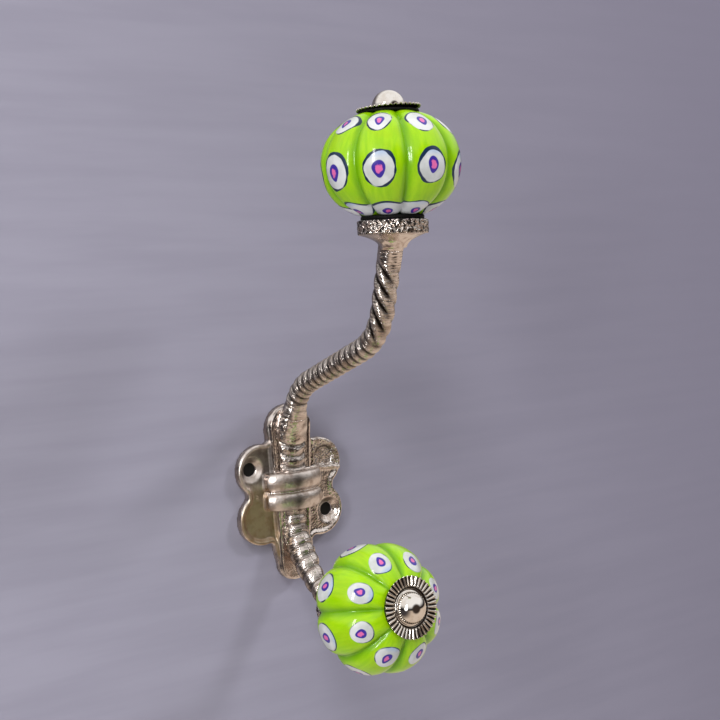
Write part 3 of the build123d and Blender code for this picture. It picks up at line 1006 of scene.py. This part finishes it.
# The wall is painted darker towards its lower right: painted shade.
spots = wire(tree, "ShaderNodeSeparateXYZ", {0: place}).outputs
slant = calc(tree, "ADD", spots[0], calc(tree, "MULTIPLY", spots[2], 0.35))
wall_shade_falloff = ramp(tree, slant, -0.3, 0.4)
colour = blend_colour(tree, wall_shade_falloff, colour, srgb(113, 110, 126))
# Behind each screw hole the wall is painted near black: painted shade in the hole.
for hole_x, hole_z in HOLE_PLACES:
    aside = calc(tree, "SUBTRACT", spots[0], hole_x * MM)
    rise = calc(tree, "SUBTRACT", spots[2], hole_z * MM)
    hole_shade = ramp(tree, distance(tree, aside, rise), 3.0 * MM, 2.6 * MM)
    colour = blend_colour(tree, hole_shade, colour, srgb(14, 12, 12))
tree.links.new(colour, shader.inputs["Base Color"])
clear = wire(tree, "ShaderNodeBsdfTransparent")
behind = wire(tree, "ShaderNodeNewGeometry").outputs["Backfacing"]
seen = wire(tree, "ShaderNodeMixShader", {0: behind, 1: shader.outputs[0], 2: clear.outputs[0]})
tree.links.new(seen.outputs[0], tree.nodes["Material Output"].inputs["Surface"])
wall = sheet(
    "wall",
    WALL_HALF,
    Matrix.Rotation(math.radians(90), 4, "X"),
    (0, WALL_GAP, 0.1),
    wall_paint,
)
for way in ("diffuse", "glossy", "transmission", "shadow", "volume_scatter"):
    setattr(wall, f"visible_{way}", False)

floor_paint, tree, shader = new_material("floor_paint", Roughness=0.8)
place = wire(tree, "ShaderNodeTexCoord").outputs["Object"]
tone = ramp(tree, clouds(tree, place, 6.0, 3.0), 0.3, 0.7)
colour = blend_colour(tree, tone, srgb(206, 204, 210), srgb(212, 210, 215))
tree.links.new(colour, shader.inputs["Base Color"])
floor = sheet("floor", FLOOR_HALF, Matrix.Identity(4), (0, 0, -FLOOR_DROP), floor_paint)
floor.visible_glossy = False

# The room that the metal mirrors: white above a dark horizon, beige below, a dark patch in
# front and a bright window to the left. The dark strip at the back stands for the wall.
world = bpy.data.worlds.new("studio")
bpy.context.scene.world = world
world.use_nodes = True
tree = world.node_tree
tree.nodes.clear()
way = wire(tree, "ShaderNodeTexCoord").outputs["Generated"]
sides = wire(tree, "ShaderNodeSeparateXYZ", {0: way}).outputs
above = ramp(tree, sides[2], 0.05, 0.48)
below = ramp(tree, sides[2], 0.02, -0.13)
to_right = ramp(tree, sides[0], -0.9, -0.35)
low_tone = blend_colour(tree, to_right, (0.06, 0.052, 0.055, 1), (0.69, 0.56, 0.455, 1))
tone = blend_colour(tree, below, (0.012, 0.01, 0.01, 1), low_tone)
tone = blend_colour(tree, above, tone, (1.0, 0.98, 0.97, 1))
for aim, reach, shade in (
    ((0.15, -0.98, 0.06), (0.78, 0.92), (0.045, 0.032, 0.026, 1)),
    ((-0.89, -0.4, 0.14), (0.95, 0.985), (3.0, 2.95, 2.9, 1)),
):
    facing_it = wire(tree, "ShaderNodeVectorMath", {0: way, 1: aim}, operation="DOT_PRODUCT")
    tone = blend_colour(tree, ramp(tree, facing_it.outputs["Value"], *reach), tone, shade)
toward_wall = ramp(tree, sides[1], 0.55, 0.9)
tone = blend_colour(tree, toward_wall, tone, (0.15, 0.135, 0.155, 1))
rays = wire(tree, "ShaderNodeLightPath").outputs
dull_low = calc(tree, "MULTIPLY", rays["Is Diffuse Ray"], below)
tone = blend_colour(tree, dull_low, tone, (0.26, 0.22, 0.18, 1))
lit = wire(tree, "ShaderNodeBackground", {"Color": tone, "Strength": 1.0})
plain = wire(tree, "ShaderNodeBackground", {"Color": srgb(176, 174, 186), "Strength": 1.0})
feeds = {0: rays["Is Camera Ray"], 1: lit.outputs[0], 2: plain.outputs[0]}
sky = wire(tree, "ShaderNodeMixShader", feeds)
wire(tree, "ShaderNodeOutputWorld", {"Surface": sky.outputs[0]})


def softbox(name, place, aim, size, power, tint, mirrored):
    """A soft rectangular studio light, which shows in polished metal if it is mirrored."""
    lamp = bpy.data.lights.new(name, "AREA")
    lamp.shape = "RECTANGLE"
    lamp.size, lamp.size_y = size
    lamp.energy = power
    lamp.color = tint
    holder = in_scene(name, lamp)
    holder.location = place
    holder.rotation_euler = (Vector(aim) - Vector(place)).to_track_quat("-Z", "Y").to_euler()
    holder.visible_glossy = mirrored


softbox(
    "window",
    place=(-0.86, -0.46, 0.34),
    aim=(0, -0.04, 0.03),
    size=(0.1, 0.5),
    power=4.0,
    tint=(1.0, 1.0, 1.0),
    mirrored=True,
)
softbox(
    "high_left",
    place=(-0.5, -0.6, 0.8),
    aim=(0, -0.04, 0.03),
    size=(0.26, 0.26),
    power=4.2,
    tint=(1.0, 0.99, 0.98),
    mirrored=False,
)
softbox(
    "high_right",
    place=(0.6, -0.5, 0.6),
    aim=(0, -0.04, 0.0),
    size=(0.16, 0.16),
    power=3.6,
    tint=(0.98, 0.98, 1.0),
    mirrored=False,
)

camera_data = bpy.data.cameras.new("camera")
camera_data.lens = 60.0
camera_data.sensor_width = 36.0
camera_data.clip_start = 0.01
camera_data.clip_end = 20.0
camera = in_scene("camera", camera_data)
CAMERA_TURN = math.radians(35.0)
CAMERA_DROP = math.radians(4.63)
CAMERA_ROLL = math.radians(-2.26)
level = math.cos(CAMERA_DROP)
aim = Vector((math.sin(CAMERA_TURN) * level, math.cos(CAMERA_TURN) * level, -math.sin(CAMERA_DROP)))
camera.rotation_mode = "QUATERNION"
camera.rotation_quaternion = aim.to_track_quat("-Z", "Y") @ Quaternion((0, 0, 1), CAMERA_ROLL)
camera.location = (-0.2155, -0.3552, 0.0779)
bpy.context.scene.camera = camera
bpy.context.scene.view_settings.view_transform = "Standard"
bpy.context.scene.view_settings.look = "None"
